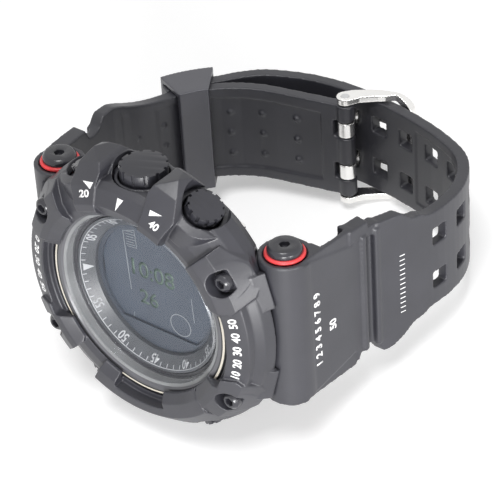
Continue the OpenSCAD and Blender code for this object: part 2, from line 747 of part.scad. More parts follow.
module buckle_bar() {
    color([0.75, 0.75, 0.77]) cross_bar(bar_c, bar_r, arm_out);
}

// Prongs: wrapped round the hinge bar, through the tail's holes and over the far bar
module buckle_prongs() {
    color([0.85, 0.85, 0.87]) for (s = [-1, 1]) difference() {
        rotate([90, 0, 90]) translate([0, 0, s * hole_rows / 2 - prong_w / 2])
            linear_extrude(height = prong_w) union() {
                translate(bar_c) circle(r = 1.6, $fn = 48);
                polygon([[-3.1, -42.9], [-1.9, -44.6], [-1.35, -46.2], [-1.25, -48.25], [-2.1, -48.6],
                    [-7, -48.75], far_bar_c + [0, -arm_end_r - 0.05], far_bar_c + [-0.9, -arm_end_r - 0.35],
                    far_bar_c + [-0.9, -arm_end_r - 0.9], [-7, -49.75], [-1.4, -49.55], [-0.3, -49.1],
                    [0.15, -48.2], [0, -46.2], [-0.2, -43]]);
            }
        cross_bar(bar_c, bar_r + running, 20);
    }
}

// Loop that holds the tail against the twelve o'clock strap, with slanting ends
module keeper() {
    inner = narrow_half + gap;
    span = keeper_l / keeper_out * 180 / PI;
    skew = 3.3;
    color([0.18, 0.18, 0.19]) intersection() {
        rotate([90, 0, 90]) translate([bend_c[0], bend_c[1], 0])
            rotate([0, 0, keeper_a - span]) rotate_extrude(angle = 2 * span) difference() {
                translate([keeper_in, -inner - keeper_wall])
                    square([keeper_out - keeper_in, 2 * (inner + keeper_wall)]);
                translate([keeper_in + keeper_wall, -inner])
                    square([keeper_out - keeper_in - 2 * keeper_wall, 2 * inner]);
            }
        side_plate([on_circle(bend_c, keeper_out + 1, keeper_a + span / 2),
            on_circle(bend_c, keeper_in - 1, keeper_a + span / 2 - skew / 2),
            on_circle(bend_c, keeper_in - 1, keeper_a - span / 2 + skew * 1.6),
            on_circle(bend_c, keeper_out + 1, keeper_a - span / 2)], inner + keeper_wall + 1);
    }
}

stance() case_body();
stance() bezel();
stance() crystal();
stance() crystal_gasket();
stance() crystal_rim();
stance() dial_flange();
stance() dial_mask();
stance() lcd_panel();
stance() lcd_backlight();
stance() module_frame();
stance() circuit_board();
stance() module_chip();
stance() timing_quartz();
stance() zebra_strips();
stance() battery();
stance() battery_clip();
stance() buzzer_disc();
stance() case_back();
stance() case_back_gasket();
stance() case_back_screws();
stance() bezel_screws();
stance() pusher(PUSHERS[0]);  // pusher_2
stance() pusher(PUSHERS[1]);  // pusher_3
stance() pusher(PUSHERS[2]);  // pusher_4
stance() pusher(PUSHERS[3]);  // pusher_8
stance() pusher(PUSHERS[4]);  // pusher_10
stance() pusher_spring(PUSHERS[0]);  // pusher_spring_2
stance() pusher_spring(PUSHERS[1]);  // pusher_spring_3
stance() pusher_spring(PUSHERS[2]);  // pusher_spring_4
stance() pusher_spring(PUSHERS[3]);  // pusher_spring_8
stance() pusher_spring(PUSHERS[4]);  // pusher_spring_10
stance() pusher_clip(PUSHERS[0]);  // pusher_clip_2
stance() pusher_clip(PUSHERS[1]);  // pusher_clip_3
stance() pusher_clip(PUSHERS[2]);  // pusher_clip_4
stance() pusher_clip(PUSHERS[3]);  // pusher_clip_8
stance() pusher_clip(PUSHERS[4]);  // pusher_clip_10
stance() pusher_seals();
stance() strap_upper();
stance() strap_lower();
stance() strap_pins();
stance() pin_rings();
stance() pin_caps();
stance() buckle_frame();
stance() buckle_bar();
stance() buckle_prongs();
stance() keeper();
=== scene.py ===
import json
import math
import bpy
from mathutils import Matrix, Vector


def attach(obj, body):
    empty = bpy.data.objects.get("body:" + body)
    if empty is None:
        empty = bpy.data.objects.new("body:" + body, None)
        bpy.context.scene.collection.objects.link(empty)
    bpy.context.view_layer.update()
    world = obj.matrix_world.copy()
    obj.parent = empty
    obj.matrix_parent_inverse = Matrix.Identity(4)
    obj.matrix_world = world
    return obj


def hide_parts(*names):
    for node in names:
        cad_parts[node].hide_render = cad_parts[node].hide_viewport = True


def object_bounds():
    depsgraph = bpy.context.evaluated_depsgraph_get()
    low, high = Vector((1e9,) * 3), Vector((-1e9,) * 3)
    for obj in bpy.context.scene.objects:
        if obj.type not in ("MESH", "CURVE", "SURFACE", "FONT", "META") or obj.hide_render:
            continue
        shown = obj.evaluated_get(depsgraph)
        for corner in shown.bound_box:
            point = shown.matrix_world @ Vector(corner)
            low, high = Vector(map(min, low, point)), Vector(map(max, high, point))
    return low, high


bl_info = {
    "name": "Buckled sports watch",
    "version": (1, 0, 0),
    "blender": (4, 5, 0),
    "location": "View3D > Sidebar > Watch",
    "description": "Dresses the packed watch with moulded resin, glass, steel and prints",
    "category": "Add Mesh",
}

import bpy
from bpy.props import FloatProperty, FloatVectorProperty, PointerProperty
from mathutils import Matrix, Vector

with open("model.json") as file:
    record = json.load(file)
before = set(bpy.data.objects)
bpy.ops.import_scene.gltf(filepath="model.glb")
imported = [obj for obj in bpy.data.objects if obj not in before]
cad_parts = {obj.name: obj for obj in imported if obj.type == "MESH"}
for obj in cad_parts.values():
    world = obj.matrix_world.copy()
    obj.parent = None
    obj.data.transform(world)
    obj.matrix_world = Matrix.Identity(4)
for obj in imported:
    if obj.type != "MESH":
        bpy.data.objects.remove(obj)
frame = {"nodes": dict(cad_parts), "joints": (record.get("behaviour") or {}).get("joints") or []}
CAD_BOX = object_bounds()

MM = 0.001

# Height of the numerals as a share of the font's size
CAPITALS = 0.72

# Finishes: noise cells per metre of the broad tint, and the depth of the moulded grain
BROAD_SCALE = 160
GRAIN_DEPTH = 0.02 * MM

# The watch's own frame inside the row frame: x to three o'clock, y to twelve, z out of the dial.
# The three o'clock pusher goes in along -x, so its joint gives the lean.
THREE = -Vector(next(j for j in frame["joints"] if j["name"] == "press_3")["axis"]).normalized()
TWELVE = Vector((-1, 0, 0))
WATCH = Matrix((THREE, TWELVE, THREE.cross(TWELVE))).transposed().to_4x4()

# The camera in the watch's frame: its place in millimetres, its directions, and its focal length in pixels
EYE = Vector((265.94, -245.0, 275.95))
RIGHT = Vector((-0.0534, -0.7875, -0.6140))
DOWN = Vector((-0.8101, -0.3254, 0.4878))
AHEAD = Vector((-0.5839, 0.5234, -0.6206))
FOCUS = 2600.0
PHOTO_SIDE = 500
SENSOR = 36.0

# Centre of the strap's bend beyond the twelve o'clock lug, in y and z
BEND = (7.2, -17.5)

# Inner faces of the strap halves as y, z and half the width of the sunken panel on them
UPPER_PANEL = (
    (27.2, -10, 12.0), (27.7, -14.5, 11.6), (27.6, -18.5, 9.4), (26.9, -23.5, 8.3), (25.2, -28.0, 7.9),
    (22.8, -31.4, 7.8), (20.6, -33.4, 7.7), (17.6, -35.5, 7.7), (14.6, -36.9, 7.6), (11.5, -37.85, 7.6),
    (6.5, -38.95, 7.5), (2.4, -39.85, 7.4))
LOWER_PANEL = (
    (-29.0, -10.4, 11.6), (-29.8, -12.5, 11.4), (-31.0, -16.0, 9.3), (-31.9, -18.7, 8.6),
    (-32.6, -22, 8.1), (-33.0, -25.1, 7.9), (-33.0, -28, 7.9), (-32.6, -31.0, 7.9), (-31.6, -33.8, 7.9),
    (-30.3, -36.2, 7.9), (-28.5, -38.3, 7.9), (-26.3, -40.0, 7.9), (-23.2, -41.5, 7.9),
    (-20.0, -42.6, 7.9), (-16.0, -43.6, 7.9))
UPPER_PANEL_CUT = 0.7
LOWER_PANEL_CUT = 0.6

# Small domes on the upper half's inner face: rows across by angle on the bend, and a row by the buckle
PIMPLE_RADIUS = 0.7
PIMPLE_ARC = 21.3
PIMPLE_ANGLES = (-54.3, -70.8, -19, -2)
PIMPLE_ACROSS = (4.4, 0, -4.6)
LAST_PIMPLES = ((4.7, 7.4, -39.2), (0.2, 7.4, -39.2), (-4.3, 7.4, -39.2))

# Ribs in the upper half's groove as y and z
UPPER_RIBS = ((30.0, -4.8), (30.0, -7.7))

# Cell sizes of the rebuilt shells in millimetres
BEZEL_CELL = 0.13
CASE_CELL = 0.22
STRAP_CELL = 0.22
KEEPER_CELL = 0.16
BUCKLE_CELL = 0.11

# Ends of the strap pins, and the red rings on them
PIN_ENDS = [(x, y, 6) for x in (14.5, -14.5) for y in (24.8, -24.8)]
RING_RADIUS = 3.2
RING_THICKNESS = 0.37

# Minute track and display: heights over the case back and radii of the marks
TRACK_HEIGHT = 14
DISPLAY_HEIGHT = 11
TICK_RADIUS = 14.55
NUMBER_RADIUS = 14.05
TWELVE_RADIUS = 14.1
LINE_RADIUS = 14.98

# Lines on the display as start, end and width
DISPLAY_LINES = (
    ((9.4, 6.9), (-3.0, 6.2), 0.13), ((9.3, 6.8), (10.3, 4.3), 0.1), ((6.3, 6.2), (6.6, 4.0), 0.1),
    ((10.3, 4.3), (6.6, 4.0), 0.1), ((0.5, -7.5), (-4.5, -7.8), 0.12), ((-7.9, 6.0), (-8.9, 6.1), 0.1))

# Wedges on the bezel as the photograph's pixels of tip and base, and width in pixels
WEDGES = (
    ("wedge_three", (113.1, 210.0), (118.4, 199.1), 6.0),
    ("wedge_two", (80.0, 179.6), (88.9, 184.8), 7.0),
    ("wedge_four", (160.0, 215.6), (148.0, 212.5), 5.6))
MM_PER_PIXEL = 0.175
BEZEL_TOP = 22

# Numbers round the bezel's bands: first angle from the band's middle, and step, in degrees
BAND_START = -15.2
BAND_STEP = 7.1
BAND_RADIUS = 22.35
BAND_HEIGHT = 17.0

# Soft studio lamps as name, place, side and watts
LAMPS = (
    ("softbox_top", (0.12, -0.1, 0.8), 0.35, 4.0),
    ("softbox_front", (0.45, -0.68, 0.14), 0.25, 6.4),
    ("softbox_right", (0.8, -0.25, 0.1), 0.25, 3.6))


class WatchSizes(bpy.types.PropertyGroup):
    """Sizes of the finish that a user would change"""

    edge: FloatProperty(
        name="Edge rounding",
        description="Width of the bevel on the pushers' edges; screws and caps have more",
        default=0.1 * MM, min=0.05 * MM, max=0.2 * MM, unit="LENGTH", precision=5)
    print_height: FloatProperty(
        name="Print height", description="Thickness of the white ink on the resin",
        default=0.03 * MM, min=0.01 * MM, max=0.1 * MM, unit="LENGTH", precision=5)


class WatchColours(bpy.types.PropertyGroup):
    """Colours of the watch's finishes"""

    resin: FloatVectorProperty(
        name="Resin", description="Matt black resin of the case, bezel and strap",
        subtype="COLOR", size=3, default=(0.030, 0.030, 0.037), min=0, max=1)
    ring: FloatVectorProperty(
        name="Rings", description="Red rubber rings at the strap ends",
        subtype="COLOR", size=3, default=(0.74, 0.055, 0.06), min=0, max=1)
    ink: FloatVectorProperty(
        name="Ink", description="White print",
        subtype="COLOR", size=3, default=(0.85, 0.85, 0.85), min=0, max=1)
    # The display's colour is its own tone lightened by a painted reflection of the glass above it, which
    # mirrors almost nothing when seen face on
    display: FloatVectorProperty(
        name="Display", description="Unlit liquid crystal display",
        subtype="COLOR", size=3, default=(0.060, 0.074, 0.100), min=0, max=1)


def new_material(name):
    material = bpy.data.materials.new(name)
    material.use_nodes = True
    return material, material.node_tree.nodes, material.node_tree.links


def object_noise(nodes, links, scale, detail=3.0, stretch=(1, 1, 1)):
    coords = nodes.new("ShaderNodeTexCoord")
    turn = nodes.new("ShaderNodeMapping")
    turn.inputs["Scale"].default_value = stretch
    noise = nodes.new("ShaderNodeTexNoise")
    noise.inputs["Scale"].default_value = scale
    noise.inputs["Detail"].default_value = detail
    links.new(coords.outputs["Object"], turn.inputs["Vector"])
    links.new(turn.outputs["Vector"], noise.inputs["Vector"])
    return noise


def ramp(nodes, links, source, low, high, at=(0.3, 0.7)):
    ends = nodes.new("ShaderNodeValToRGB")
    ends.color_ramp.elements[0].position = at[0]
    ends.color_ramp.elements[1].position = at[1]
    ends.color_ramp.elements[0].color = (*low, 1)
    ends.color_ramp.elements[1].color = (*high, 1)
    links.new(source, ends.inputs["Fac"])
    return ends


def gloss_between(nodes, links, source, shader, low, high, reach=(0, 1)):
    """Roughness from low to high as the source goes over its reach"""
    gloss = nodes.new("ShaderNodeMapRange")
    gloss.inputs["From Min"].default_value = reach[0]
    gloss.inputs["From Max"].default_value = reach[1]
    gloss.inputs["To Min"].default_value = low
    gloss.inputs["To Max"].default_value = high
    links.new(source, gloss.inputs["Value"])
    links.new(gloss.outputs["Result"], shader.inputs["Roughness"])


def grained(name, colour, rough, grain_scale, grain, metallic=0.0, spread=0.15, stretch=(1, 1, 1),
            coat=0.0, specular=0.5):
    """Procedural finish: colour and roughness vary broadly, and a fine grain bumps the surface"""
    material, nodes, links = new_material(name)
    shader = nodes["Principled BSDF"]
    broad = object_noise(nodes, links, BROAD_SCALE, 4)
    tint = ramp(nodes, links, broad.outputs["Fac"],
                tuple(c * (1 - spread) for c in colour), tuple(min(1, c * (1 + spread)) for c in colour))
    links.new(tint.outputs["Color"], shader.inputs["Base Color"])
    fine = object_noise(nodes, links, grain_scale, 2, stretch)
    gloss_between(nodes, links, fine.outputs["Fac"], shader, rough * 0.88, min(1, rough * 1.12))
    bump = nodes.new("ShaderNodeBump")
    bump.inputs["Strength"].default_value = grain
    bump.inputs["Distance"].default_value = GRAIN_DEPTH
    links.new(fine.outputs["Fac"], bump.inputs["Height"])
    links.new(bump.outputs["Normal"], shader.inputs["Normal"])
    shader.inputs["Metallic"].default_value = metallic
    shader.inputs["Coat Weight"].default_value = coat
    shader.inputs["Specular IOR Level"].default_value = specular
    return material


def dial_reach(nodes, links, low, high):
    """0 to 1 by the distance from the dial's axis, between two radii in millimetres"""
    coords = nodes.new("ShaderNodeTexCoord")
    turn = nodes.new("ShaderNodeMapping")
    turn.inputs["Rotation"].default_value = WATCH.inverted().to_euler()
    links.new(coords.outputs["Object"], turn.inputs["Vector"])
    parts = nodes.new("ShaderNodeSeparateXYZ")
    links.new(turn.outputs["Vector"], parts.inputs["Vector"])
    flat = nodes.new("ShaderNodeCombineXYZ")
    links.new(parts.outputs["X"], flat.inputs["X"])
    links.new(parts.outputs["Y"], flat.inputs["Y"])
    reach = nodes.new("ShaderNodeVectorMath")
    reach.operation = "LENGTH"
    links.new(flat.outputs["Vector"], reach.inputs[0])
    span = nodes.new("ShaderNodeMapRange")
    span.inputs["From Min"].default_value = low * MM
    span.inputs["From Max"].default_value = high * MM
    links.new(reach.outputs["Value"], span.inputs["Value"])
    return span.outputs["Result"]


def banded(nodes, links, source, stops, interpolation="CONSTANT"):
    """Colour ramp with a stop for each pair of place and colour"""
    bands = nodes.new("ShaderNodeValToRGB")
    bands.color_ramp.interpolation = interpolation
    while len(bands.color_ramp.elements) < len(stops):
        bands.color_ramp.elements.new(1)
    for element, (at, colour) in zip(bands.color_ramp.elements, stops):
        element.position = at
        element.color = (*colour, 1)
    links.new(source, bands.inputs["Fac"])
    return bands.outputs["Color"]


def clear_glass(name):
    """Glass that mirrors more at a slant and lets the rest through, with a ground edge"""
    material, nodes, links = new_material(name)
    shader = nodes["Principled BSDF"]
    shader.inputs["Base Color"].default_value = (0.93, 0.95, 0.97, 1)
    shader.inputs["Metallic"].default_value = 1
    slant = nodes.new("ShaderNodeLayerWeight")
    steep = nodes.new("ShaderNodeMath")
    steep.operation = "POWER"
    steep.inputs[1].default_value = 5
    links.new(slant.outputs["Facing"], steep.inputs[0])
    edge = banded(nodes, links, dial_reach(nodes, links, 15, 18),
                  ((0, (0, 0, 0)), (0.40, (0, 0, 0)), (0.47, (0.25, 0.25, 0.25)), (0.56, (0.04, 0.04, 0.04)),
                   (0.70, (0.13, 0.13, 0.13))), "LINEAR")
    share = nodes.new("ShaderNodeMath")
    share.operation = "MAXIMUM"
    links.new(steep.outputs["Value"], share.inputs[0])
    links.new(edge, share.inputs[1])
    links.new(share.outputs["Value"], shader.inputs["Alpha"])
    smear = object_noise(nodes, links, 60, 5)
    gloss_between(nodes, links, smear.outputs["Fac"], shader, 0.14, 0.28, reach=(0.45, 0.8))
    return material


def ringed_rim(name):
    """Rim under the glass's edge, by distance from the dial's axis: grey, a dark band of painted shade for
    the gap beside the glass, a cream line, and painted shade of the bezel's slot beyond
    """
    material, nodes, links = new_material(name)
    shader = nodes["Principled BSDF"]
    # Both near-black bands are painted shade of the gap by the glass and of the bezel's slot; the grey and
    # the cream line are the rim's own colours
    bands = banded(nodes, links, dial_reach(nodes, links, 17, 19.5),
                   ((0.0, (0.10, 0.10, 0.11)), (0.46, (0.02, 0.02, 0.022)), (0.58, (0.62, 0.58, 0.5)),
                    (0.74, (0.02, 0.02, 0.022))))
    links.new(bands, shader.inputs["Base Color"])
    fine = object_noise(nodes, links, 3000, 2)
    gloss_between(nodes, links, fine.outputs["Fac"], shader, 0.26, 0.36)
    return material


MATERIALS = {}


def finish(name):
    """The named finish, made on first use"""
    if name in MATERIALS:
        return MATERIALS[name]
    colours = bpy.context.scene.watch_colours
    resin = tuple(colours.resin)
    recipes = {
        "moulded_resin": lambda: grained(name, resin, 0.4, 5200, 0.4, spread=0.12, specular=0.6),
        "strap_resin": lambda: grained(name, resin, 0.42, 4200, 0.35, spread=0.1, specular=0.6),
        # The keeper is the strap's resin made twice as light: painted light on the keeper's band, with a
        # stronger gloss on top
        "keeper_resin": lambda: grained(name, tuple(c * 2 for c in resin), 0.34, 4200, 0.07, spread=0.08,
                                        specular=0.8),
        "pusher_resin": lambda: grained(name, tuple(c * 0.95 for c in resin), 0.34, 5200, 0.4),
        "screw_black": lambda: grained(name, tuple(c * 0.85 for c in resin), 0.26, 6000, 0.2, coat=0.15),
        "ring_rubber": lambda: grained(name, tuple(colours.ring), 0.38, 4000, 0.3),
        "polished_steel": lambda: grained(name, (0.86, 0.85, 0.83), 0.2, 3000, 0.12, metallic=1, spread=0.04),
        "brushed_steel": lambda: grained(name, (0.62, 0.62, 0.62), 0.3, 2500, 0.4, metallic=1, spread=0.06,
                                         stretch=(0.06, 1, 1)),
        "white_gasket": lambda: grained(name, (0.22, 0.225, 0.23), 0.5, 3000, 0.3),
        "track_plastic": lambda: grained(name, (0.075, 0.08, 0.09), 0.4, 4000, 0.1),
        "mask_plastic": lambda: grained(name, (0.056, 0.066, 0.086), 0.5, 4000, 0.1, spread=0.08),
        # The display's base colour carries a painted reflection of the glass over it
        "display_film_with_painted_glare": lambda: grained(name, tuple(colours.display), 0.45, 400, 0.0, spread=0.08),
        "diffuser": lambda: grained(name, (0.75, 0.76, 0.7), 0.5, 1500, 0.2),
        "board_green": lambda: grained(name, (0.02, 0.12, 0.05), 0.4, 1500, 0.4),
        "chip_black": lambda: grained(name, (0.02, 0.02, 0.02), 0.5, 2500, 0.3),
        "plain_plastic": lambda: grained(name, (0.06, 0.06, 0.065), 0.5, 2500, 0.3),
        "brass": lambda: grained(name, (0.75, 0.58, 0.3), 0.3, 1800, 0.3, metallic=1),
        "zebra_rubber": lambda: grained(name, (0.12, 0.12, 0.13), 0.7, 3000, 0.3),
        "seal_rubber": lambda: grained(name, (0.015, 0.015, 0.015), 0.6, 3000, 0.3),
        "white_ink": lambda: grained(name, tuple(colours.ink), 0.5, 3500, 0.2, spread=0.08),
        "track_ink": lambda: grained(name, (0.45, 0.46, 0.48), 0.5, 3500, 0.2, spread=0.12),
        "faint_ink": lambda: grained(name, (0.27, 0.29, 0.31), 0.5, 2500, 0.2, spread=0.12),
        "segment_ink": lambda: grained(name, (0.075, 0.112, 0.095), 0.4, 400, 0.0, spread=0.3),
        "mineral_glass": lambda: clear_glass(name),
        "rim_metal": lambda: ringed_rim(name),
    }
    MATERIALS[name] = recipes[name]()
    return MATERIALS[name]


def clad(piece, name):
    piece.data.materials.clear()
    piece.data.materials.append(finish(name))


def let_go():
    """Nothing is selected and nothing is active"""
    if bpy.context.mode != "OBJECT":
        bpy.ops.object.mode_set(mode="OBJECT")
    bpy.ops.object.select_all(action="DESELECT")
    bpy.context.view_layer.objects.active = None


def take(piece):
    let_go()
    piece.select_set(True)
    bpy.context.view_layer.objects.active = piece


def apply_modifier(piece, kind, **settings):
    take(piece)
    modifier = piece.modifiers.new(kind.title(), kind)
    for key, value in settings.items():
        setattr(modifier, key, value)
    bpy.ops.object.modifier_apply(modifier=modifier.name)


def copy_of(node, name):
    """Own copy of a CAD node's mesh, with its loose triangles merged"""
    source = frame["nodes"][node]
    piece = bpy.data.objects.new(name, source.data.copy())
    bpy.context.scene.collection.objects.link(piece)
    take(piece)
    bpy.ops.object.mode_set(mode="EDIT")
    bpy.ops.mesh.select_all(action="SELECT")
    bpy.ops.mesh.remove_doubles(threshold=0.000001)
    bpy.ops.mesh.customdata_custom_splitnormals_clear()
    bpy.ops.object.mode_set(mode="OBJECT")
    return piece


def triangles(piece):
    return sum(len(face.vertices) - 2 for face in piece.data.polygons)


def soften(piece, voxel, rounds, most=150000):
    """Rounds all edges as a mould does: the shell is rebuilt in small cells, relaxed and thinned"""
    apply_modifier(piece, "REMESH", mode="VOXEL", voxel_size=voxel * MM, use_smooth_shade=True)
    apply_modifier(piece, "SMOOTH", factor=0.5, iterations=rounds)
    count = triangles(piece)
    if count > most:
        apply_modifier(piece, "DECIMATE", ratio=most / count)
        piece.data.validate()
    take(piece)
    bpy.ops.object.shade_smooth()


def crisp(piece, width):
    """Narrow bevels between flat faces: the CAD's triangles are merged into faces first"""
    edge = width * bpy.context.scene.watch_sizes.edge
    take(piece)
    bpy.ops.object.mode_set(mode="EDIT")
    bpy.ops.mesh.select_all(action="SELECT")
    bpy.ops.mesh.dissolve_limited(angle_limit=math.radians(0.3))
    bpy.ops.object.mode_set(mode="OBJECT")
    apply_modifier(piece, "BEVEL", width=edge, segments=2, limit_method="ANGLE",
                   angle_limit=math.radians(28))
    take(piece)
    bpy.ops.object.shade_smooth_by_angle(angle=math.radians(32))


def turned_edge(node, name, body, finish_name, width):
    """A CAD node's shape with narrow bevels, in place of the node; width is in edge roundings"""
    piece = copy_of(node, name)
    crisp(piece, width)
    stand_in(piece, body, finish_name, node)
    return piece


def moulded(node, name, body, finish_name, voxel, rounds, most=150000):
    """A CAD node's shape with moulded or polished edges, in place of the node"""
    piece = copy_of(node, name)
    soften(piece, voxel, rounds, most)
    stand_in(piece, body, finish_name, node)
    return piece


def stand_in(piece, body, finish_name, *nodes):
    """The piece rides on its body in place of its CAD nodes"""
    clad(piece, finish_name)
    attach(piece, body)
    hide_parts(*nodes)


def placed(place, right, up):
    """Matrix in the watch's frame: local x along right, local y near up, at a place in millimetres"""
    x = Vector(right).normalized()
    z = x.cross(Vector(up)).normalized()
    turned = Matrix((x, z.cross(x), z)).transposed().to_4x4()
    turned.translation = Vector(place) * MM
    return turned


def settle(piece):
    """Takes the piece from the watch's frame to the row's, with its place in its mesh"""
    take(piece)
    piece.matrix_world = WATCH @ piece.matrix_world
    bpy.ops.object.transform_apply(location=True, rotation=True, scale=True)


def join(main, *others):
    take(main)
    for other in others:
        other.select_set(True)
    bpy.ops.object.join()
    return main


def cut(piece, cutter):
    """Takes the cutter's space out of the piece, and the cutter away"""
    apply_modifier(piece, "BOOLEAN", operation="DIFFERENCE", object=cutter, solver="EXACT")
    bpy.data.objects.remove(cutter, do_unlink=True)


def ribbon(points, thick):
    """Slab across the strap that follows points of y, z and half width"""
    let_go()
    bpy.ops.mesh.primitive_plane_add(size=2 * points[0][2] * MM)
    strip = bpy.context.object
    bpy.ops.object.mode_set(mode="EDIT")
    bpy.ops.mesh.select_all(action="SELECT")
    bpy.ops.transform.resize(value=(1, 0, 1))
    bpy.ops.mesh.remove_doubles(threshold=0.0000001)
    bpy.ops.transform.translate(value=(0, points[0][0] * MM, points[0][1] * MM))
    for last, here in zip(points, points[1:]):
        bpy.ops.mesh.extrude_region_move(TRANSFORM_OT_translate={
            "value": (0, (here[0] - last[0]) * MM, (here[1] - last[1]) * MM)})
        bpy.ops.transform.resize(value=(here[2] / last[2], 1, 1), center_override=(0, 0, 0))
    bpy.ops.object.mode_set(mode="OBJECT")
    apply_modifier(strip, "SOLIDIFY", thickness=thick * MM, offset=0)
    settle(strip)
    return strip


def block(size, place, right=(1, 0, 0), up=(0, 1, 0), bevel=0.0):
    """Cutter or rib: a box with its edges taken off"""
    let_go()
    bpy.ops.mesh.primitive_cube_add(size=MM)
    piece = bpy.context.object
    piece.matrix_world = placed(place, right, up) @ Matrix.Diagonal((*size, 1))
    bpy.ops.object.transform_apply(location=False, rotation=False, scale=True)
    if bevel:
        apply_modifier(piece, "BEVEL", width=bevel * MM, segments=3)
    settle(piece)
    return piece


def rib(place, radius, half):
    """Round rib across the strap at y and z"""
    let_go()
    bpy.ops.mesh.primitive_cylinder_add(radius=radius * MM, depth=2 * half * MM, vertices=32)
    piece = bpy.context.object
    piece.matrix_world = placed((0, *place), (0, 1, 0), (0, 0, 1))
    apply_modifier(piece, "BEVEL", width=0.25 * MM, segments=3, limit_method="ANGLE")
    settle(piece)
    return piece


def pimple(place):
    """Small dome of the strap's inner face, to be fused with it"""
    let_go()
    bpy.ops.mesh.primitive_ico_sphere_add(subdivisions=2, radius=PIMPLE_RADIUS * MM)
    piece = bpy.context.object
    piece.location = Vector(place) * MM
    settle(piece)
    return piece


def lay(flat, name, target, place, right, up, body="watch", ink="white_ink", lift=3.0):
    """Prints a flat outline on a surface: it drops along its own -z onto the target"""
    height = bpy.context.scene.watch_sizes.print_height
    here = placed(place, right, up)
    here.translation += here.to_3x3() @ Vector((0, 0, lift * MM))
    flat.matrix_world = WATCH @ here @ flat.matrix_world
    flat.name = name
    bpy.context.view_layer.update()
    apply_modifier(flat, "SHRINKWRAP", target=target, wrap_method="PROJECT", use_project_z=True,
                   use_negative_direction=True, use_positive_direction=False, offset=height)
    apply_modifier(flat, "SOLIDIFY", thickness=2 * height, offset=-1)
    take(flat)
    bpy.ops.object.transform_apply(location=True, rotation=True, scale=True)
    clad(flat, ink)
    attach(flat, body)
    return flat


def sight(u, v, height):
    """Point of the watch at a height over the case back that the camera sees at a pixel"""
    middle = PHOTO_SIDE / 2
    ray = RIGHT * ((u - middle) / FOCUS) + DOWN * ((v - middle) / FOCUS) + AHEAD
    return EYE + ray * ((height - EYE.z) / ray.z)


def figure(body, height, weight):
    """Plain numerals as a flat mesh, centred; the height and the weight of the strokes in millimetres"""
    let_go()
    bpy.ops.object.text_add()
    sign = bpy.context.object
    sign.data.body = body
    sign.data.size = height * MM / CAPITALS
    sign.data.align_x = "CENTER"
    sign.data.align_y = "CENTER"
    sign.data.offset = weight * MM
    sign.data.resolution_u = 5
    bpy.ops.object.convert(target="MESH")
    bpy.ops.object.transform_apply(location=True, rotation=True, scale=True)
    return bpy.context.object


def wedge(length, width):
    """Slim flat triangle with its tip along +x, centred on its middle"""
    let_go()
    bpy.ops.mesh.primitive_circle_add(vertices=3, radius=MM, fill_type="NGON")
    piece = bpy.context.object
    bpy.ops.object.mode_set(mode="EDIT")
    bpy.ops.mesh.select_all(action="SELECT")
    bpy.ops.transform.rotate(value=-math.pi / 2, orient_axis="Z", center_override=(0, 0, 0))
    bpy.ops.transform.resize(value=(length / 1.5, width / math.sqrt(3), 1), center_override=(0, 0, 0))
    bpy.ops.mesh.subdivide(number_cuts=3)
    bpy.ops.object.mode_set(mode="OBJECT")
    if piece.data.vertices[0].co.x < 0:
        bpy.ops.object.mode_set(mode="EDIT")
        bpy.ops.transform.rotate(value=math.pi, orient_axis="Z", center_override=(0, 0, 0))
        bpy.ops.object.mode_set(mode="OBJECT")
    return piece


def dash(length, width, cuts=4):
    """Flat bar along x, fine enough to follow a curved face"""
    let_go()
    bpy.ops.mesh.primitive_grid_add(x_subdivisions=cuts, y_subdivisions=1, size=MM)
    piece = bpy.context.object
    bpy.ops.object.mode_set(mode="EDIT")
    bpy.ops.mesh.select_all(action="SELECT")
    bpy.ops.transform.resize(value=(length, width, 1))
    bpy.ops.object.mode_set(mode="OBJECT")
    return piece


def hoop(radius, width, sides=144):
    """Flat ring"""
    let_go()
    bpy.ops.mesh.primitive_circle_add(vertices=sides, radius=radius * MM, fill_type="NGON")
    piece = bpy.context.object
    bpy.ops.object.mode_set(mode="EDIT")
    bpy.ops.mesh.select_all(action="SELECT")
    bpy.ops.mesh.inset(thickness=width * MM)
    bpy.ops.mesh.delete(type="FACE")
    bpy.ops.object.mode_set(mode="OBJECT")
    return piece


def around(degrees, radius, height):
    """Place on a circle round the dial's axis"""
    turn = math.radians(degrees)
    return (radius * math.cos(turn), radius * math.sin(turn), height)


def seen_ray(nodes, links):
    """1 where a ray comes from the camera, a gloss or a glass, and 0 elsewhere"""
    rays = nodes.new("ShaderNodeLightPath")
    seen = rays.outputs["Is Camera Ray"]
    for kind in ("Is Glossy Ray", "Is Transmission Ray"):
        either = nodes.new("ShaderNodeMath")
        either.operation = "MAXIMUM"
        links.new(seen, either.inputs[0])
        links.new(rays.outputs[kind], either.inputs[1])
        seen = either.outputs["Value"]
    return seen


